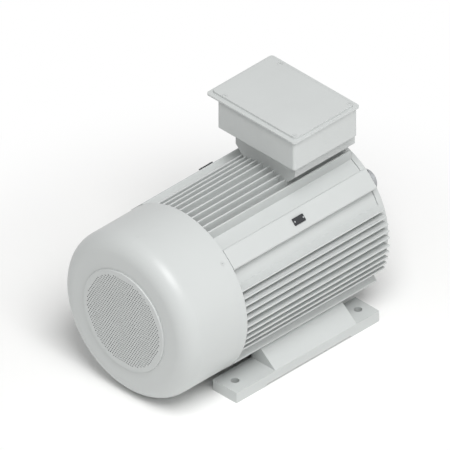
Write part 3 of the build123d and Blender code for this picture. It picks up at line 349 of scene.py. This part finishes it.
class MOTOR_OT_metal_parts(bpy.types.Operator):
    """Give the bare metal pieces their machined, plated and cast finishes"""

    bl_idname = "motor.metal_parts"
    bl_label = "Bare Metal Parts"

    def execute(self, context):
        finish = context.scene.motor_finish
        # Tool lines round the shaft stretch its highlight. They are drawn coarser than the real
        # 0.2 mm so that they show
        tool_lines = dict(direction="X", spacing=finish.turning, depth=0.01 * MM)
        dress(metal("Turned and ground steel", "A9ABAD", roughness=0.30, spread=0.06,
                    patch=40 * MM, lines=tool_lines), SHAFT_NODES)
        # Stacked sheets give dull grey stripes. They are drawn coarser than the real 0.5 mm so that
        # they show
        sheet_lines = dict(direction="X", spacing=2.5 * MM, depth=0.15 * MM)
        dress(metal("Electrical sheet edges", "62656A", roughness=0.48, spread=0.10,
                    patch=30 * MM, lines=sheet_lines), CORE_NODES)
        # Hardened steel, polished on the balls to a mirror and on the rings to a clear satin
        dress(metal("Polished bearing balls", "C4C6C9", roughness=0.12, spread=0.02,
                    patch=20 * MM), BALL_NODES)
        dress(metal("Ground bearing rings", "B4B6B9", roughness=0.20, spread=0.03,
                    patch=20 * MM), RING_NODES)
        # A thin bright plating, a little cloudy from one spot to the next
        dress(metal("Zinc-plated steel", "B9BCBE", roughness=0.36, spread=0.08,
                    patch=6 * MM), PLATED_NODES)
        # Heat-treated spring steel, dark with a bluish cast
        dress(metal("Blued spring steel", "4A4D55", roughness=0.34, spread=0.10,
                    patch=10 * MM), SPRING_NODES)
        # Yellow metal with the soft shine that a cutter leaves
        dress(metal("Machined brass", "C3A25A", roughness=0.32, spread=0.08,
                    patch=8 * MM), BRASS_NODES)
        # A pale, slightly clouded casting skin
        dress(metal("Die-cast aluminium", "B3B5B7", roughness=0.44, spread=0.08,
                    patch=25 * MM), ["rotor_cage"])
        return {"FINISHED"}


class MOTOR_OT_other_parts(bpy.types.Operator):
    """Give the winding, the mouldings, the rubber pieces and the blank plates their finishes"""

    bl_idname = "motor.other_parts"
    bl_label = "Winding, Mouldings and Rubber"

    def execute(self, context):
        finish = context.scene.motor_finish
        dress(winding(finish), ["stator_winding"])
        # Glass-filled nylon from a textured mould: near black with a broad, dull highlight
        polymer = moulded("Moulded black nylon", finish.polymer, roughness=0.52,
                          size=0.8 * MM, depth=0.04 * MM)
        dress(polymer, ["fan", "cable_plugs"])
        # Pressed thermoset: a warm brown with a slight gloss
        resin = moulded("Brown insulating resin", linear("6B4630"), roughness=0.45,
                        size=1.2 * MM, depth=0.04 * MM)
        dress(resin, ["terminal_board"])
        # Soft black rubber that takes almost no highlight
        rubber = moulded("Black nitrile rubber", linear("1C1C1D"), roughness=0.70,
                         size=1.0 * MM, depth=0.06 * MM)
        dress(rubber, RUBBER_NODES)
        # Dyed aluminium sheet: smooth and dark, left blank
        plate = moulded("Dark anodised sheet", finish.plate, roughness=0.38,
                        size=0.5 * MM, depth=0.01 * MM)
        dress(plate, ["pad_plates"])
        return {"FINISHED"}


class MOTOR_OT_inlet_guard(bpy.types.Operator):
    """Build the pierced disc over the air inlet, with its folded rim"""

    bl_idname = "motor.inlet_guard"
    bl_label = "Inlet Guard"

    def execute(self, context):
        sizes = context.scene.motor_guard
        low, high = (Vector(corner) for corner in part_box("inlet_guard"))
        radius = (high.y - low.y) / 2
        shell = bmesh.new()
        self.pierce(shell, sizes.pitch, sizes.hole, radius - sizes.border)
        between = (sizes.pitch + sizes.hole) / (2 * math.sqrt(3))
        border = [e for e in shell.edges if e.is_boundary and e.calc_length() > between]
        inner = radius - sizes.fold
        ring = bmesh.ops.create_circle(shell, segments=RIM_SEGMENTS, radius=inner)
        circle = list({e for v in ring["verts"] for e in v.link_edges})
        bmesh.ops.bridge_loops(shell, edges=border + circle)
        self.fold_back(shell, circle, radius, sizes.fold, high.x - low.x)
        bmesh.ops.recalc_face_normals(shell, faces=shell.faces)
        if sum(face.normal.z * face.calc_area() for face in shell.faces) > 0:
            bmesh.ops.reverse_faces(shell, faces=shell.faces)
        bmesh.ops.solidify(shell, geom=list(shell.faces), thickness=sizes.sheet)
        bmesh.ops.recalc_face_normals(shell, faces=shell.faces)
        self.stand_up(shell, low.x)
        mesh = bpy.data.meshes.new("pierced_guard")
        shell.to_mesh(mesh)
        shell.free()
        guard = bpy.data.objects.new("pierced_guard", mesh)
        context.collection.objects.link(guard)
        mesh.materials.append(bpy.data.materials["Light grey paint on pressed steel"])
        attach(guard, "stator")
        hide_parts("inlet_guard")
        return {"FINISHED"}

    def pierce(self, shell, pitch, hole, reach):
        """Hexagons side by side, each with a hexagonal hole, out to the given radius."""
        bmesh.ops.create_circle(shell, segments=6, radius=pitch / math.sqrt(3), cap_ends=True)
        wall = (pitch - hole) / 2
        made = bmesh.ops.inset_region(
            shell, faces=shell.faces, thickness=wall, use_boundary=True, use_even_offset=True)
        middle = [f for f in shell.faces if f not in set(made["faces"])]
        bmesh.ops.delete(shell, geom=middle, context="FACES_ONLY")
        cell = list(shell.verts) + list(shell.edges) + list(shell.faces)
        step = pitch * math.sqrt(3) / 2
        count = int(reach / step) + 1
        for row in range(-count, count + 1):
            for column in range(-count, count + 1):
                place = Vector(((column + (row % 2) / 2) * pitch, row * step, 0))
                if (row or column) and place.length < reach - pitch / 2:
                    copy = bmesh.ops.duplicate(shell, geom=cell)["geom"]
                    moved = [v for v in copy if isinstance(v, bmesh.types.BMVert)]
                    bmesh.ops.translate(shell, verts=moved, vec=place)
        bmesh.ops.remove_doubles(shell, verts=shell.verts, dist=SAME_CORNER)

    def fold_back(self, shell, circle, radius, fold, depth):
        """Turns the edge of the disc through a quarter round and runs it back to the cowl."""
        turns = [math.pi / 2 * step / FOLD_STEPS for step in range(1, FOLD_STEPS + 1)]
        inner = radius - fold
        profile = [(inner + fold * math.sin(turn), fold * (1 - math.cos(turn))) for turn in turns]
        edges = circle
        reach, back = inner, 0
        for next_reach, next_back in profile + [(radius, depth)]:
            made = bmesh.ops.extrude_edge_only(shell, edges=edges)["geom"]
            verts = [v for v in made if isinstance(v, bmesh.types.BMVert)]
            edges = [e for e in made if isinstance(e, bmesh.types.BMEdge)]
            wider = next_reach / reach
            bmesh.ops.scale(shell, verts=verts, vec=(wider, wider, 1))
            bmesh.ops.translate(shell, verts=verts, vec=(0, 0, next_back - back))
            reach, back = next_reach, next_back

    def stand_up(self, shell, front):
        """Turns the disc to face along the shaft and moves it to its place."""
        turn = Matrix(((0, 0, 1, 0), (1, 0, 0, 0), (0, 1, 0, 0), (0, 0, 0, 1)))
        place = Matrix.Translation((front, 0, SHAFT_HEIGHT))
        bmesh.ops.transform(shell, matrix=place @ turn, verts=shell.verts)


def looked_at(tree):
    """1 for light that the camera gets straight, by a reflection or through glass, 0 for the rest."""
    path = add(tree, "ShaderNodeLightPath").outputs
    glossy = add(tree, "ShaderNodeMath", {
        0: path["Is Glossy Ray"], 1: path["Is Transmission Ray"]}, operation="MAXIMUM")
    every = add(tree, "ShaderNodeMath", {
        0: path["Is Camera Ray"], 1: glossy.outputs["Value"]}, operation="MAXIMUM")
    return every.outputs["Value"]


def area_light(context, name, power, size, place):
    """A square lamp that points at the motor."""
    lamp = bpy.data.lights.new(name, "AREA")
    lamp.energy = power
    lamp.size = size
    lamp_object = bpy.data.objects.new(name, lamp)
    context.collection.objects.link(lamp_object)
    lamp_object.location = place
    aim = (Vector(VIEW_MIDDLE) - Vector(place)).to_track_quat("-Z", "Y")
    lamp_object.rotation_euler = aim.to_euler()


class MOTOR_OT_stage(bpy.types.Operator):
    """Set up the floor, the studio light and the camera"""

    bl_idname = "motor.stage"
    bl_label = "Stage"

    def execute(self, context):
        stage = context.scene.motor_stage
        bpy.ops.mesh.primitive_plane_add(size=FLOOR_SIZE, location=(0, 0, 0))
        floor = context.active_object
        floor.name = "studio_floor"
        material, tree, shader = new_material("Pale studio floor")
        tinted(tree, shader, stage.floor, spread=0.01, size=0.5)
        shader.inputs["Roughness"].default_value = 0.9
        self.fade_out(tree, shader, stage)
        floor.data.materials.append(material)
        area_light(context, "key", stage.key_power, KEY_LIGHT_SIZE, KEY_LIGHT_PLACE)
        area_light(context, "fill", stage.fill_power, FILL_LIGHT_SIZE, FILL_LIGHT_PLACE)
        self.add_sky(context, stage)
        self.add_camera(context, stage)
        context.scene.view_settings.view_transform = "Standard"
        return {"FINISHED"}

    def fade_out(self, tree, shader, stage):
        """Fades the lit floor to plain white away from the motor, for the eye and reflections."""
        place = add(tree, "ShaderNodeTexCoord").outputs["Object"]
        away = add(tree, "ShaderNodeVectorMath", {0: place}, operation="LENGTH")
        faded = add(tree, "ShaderNodeMapRange", {
            "Value": away.outputs["Value"], "From Min": stage.fade, "From Max": 2 * stage.fade,
        }, interpolation_type="SMOOTHSTEP")
        share = add(tree, "ShaderNodeMath", {
            0: faded.outputs["Result"], 1: looked_at(tree)}, operation="MULTIPLY")
        white = add(tree, "ShaderNodeEmission", {"Color": (1, 1, 1, 1), "Strength": 1.0})
        blend = add(tree, "ShaderNodeMixShader", {
            0: share.outputs["Value"], 1: shader.outputs["BSDF"], 2: white.outputs["Emission"]})
        tree.links.new(blend.outputs["Shader"], tree.nodes["Material Output"].inputs["Surface"])

    def add_sky(self, context, stage):
        """Even light from all round, in front of a background that looks plain white."""
        world = bpy.data.worlds.new("studio")
        context.scene.world = world
        world.use_nodes = True
        tree = world.node_tree
        background = tree.nodes["Background"]
        background.inputs["Color"].default_value = (1, 1, 1, 1)
        strength = add(tree, "ShaderNodeMapRange", {
            "Value": looked_at(tree), "To Min": stage.sky, "To Max": 1.0})
        tree.links.new(strength.outputs["Result"], background.inputs["Strength"])

    def add_camera(self, context, stage):
        """The isometric camera of the photograph."""
        lens = bpy.data.cameras.new("camera")
        lens.type = "ORTHO"
        lens.ortho_scale = VIEW_WIDTH
        lens.clip_end = CAMERA_REACH
        camera = bpy.data.objects.new("camera", lens)
        context.collection.objects.link(camera)
        look = Vector((
            math.sin(stage.azimuth) * math.cos(stage.elevation),
            math.cos(stage.azimuth) * math.cos(stage.elevation),
            -math.sin(stage.elevation),
        ))
        camera.location = Vector(VIEW_MIDDLE) - look * CAMERA_DISTANCE
        camera.rotation_euler = look.to_track_quat("-Z", "Y").to_euler()
        context.scene.camera = camera


class MOTOR_PT_looks(bpy.types.Panel):
    """Lists the motor's operators and their settings"""

    bl_idname = "MOTOR_PT_looks"
    bl_label = "Electric Motor"
    bl_space_type = "VIEW_3D"
    bl_region_type = "UI"
    bl_category = "Motor"

    def draw(self, context):
        layout = self.layout
        scene = context.scene
        for settings in (scene.motor_finish, scene.motor_guard, scene.motor_stage):
            column = layout.column(align=True)
            for key in settings.__annotations__:
                column.prop(settings, key)
        for operator in OPERATORS:
            layout.operator(operator.bl_idname)


SETTINGS = {
    "motor_finish": MotorFinishSettings,
    "motor_guard": MotorGuardSettings,
    "motor_stage": MotorStageSettings,
}
OPERATORS = (
    MOTOR_OT_painted_parts,
    MOTOR_OT_metal_parts,
    MOTOR_OT_other_parts,
    MOTOR_OT_inlet_guard,
    MOTOR_OT_stage,
)
CLASSES = (*SETTINGS.values(), *OPERATORS, MOTOR_PT_looks)


def register():
    for made in CLASSES:
        bpy.utils.register_class(made)
    for name, group in SETTINGS.items():
        setattr(bpy.types.Scene, name, bpy.props.PointerProperty(type=group))


def unregister():
    for name in SETTINGS:
        delattr(bpy.types.Scene, name)
    for made in reversed(CLASSES):
        bpy.utils.unregister_class(made)


def main():
    register()
    bpy.ops.motor.painted_parts()
    bpy.ops.motor.metal_parts()
    bpy.ops.motor.other_parts()
    bpy.ops.motor.inlet_guard()
    bpy.ops.motor.stage()


if __name__ == "__main__":
    main()
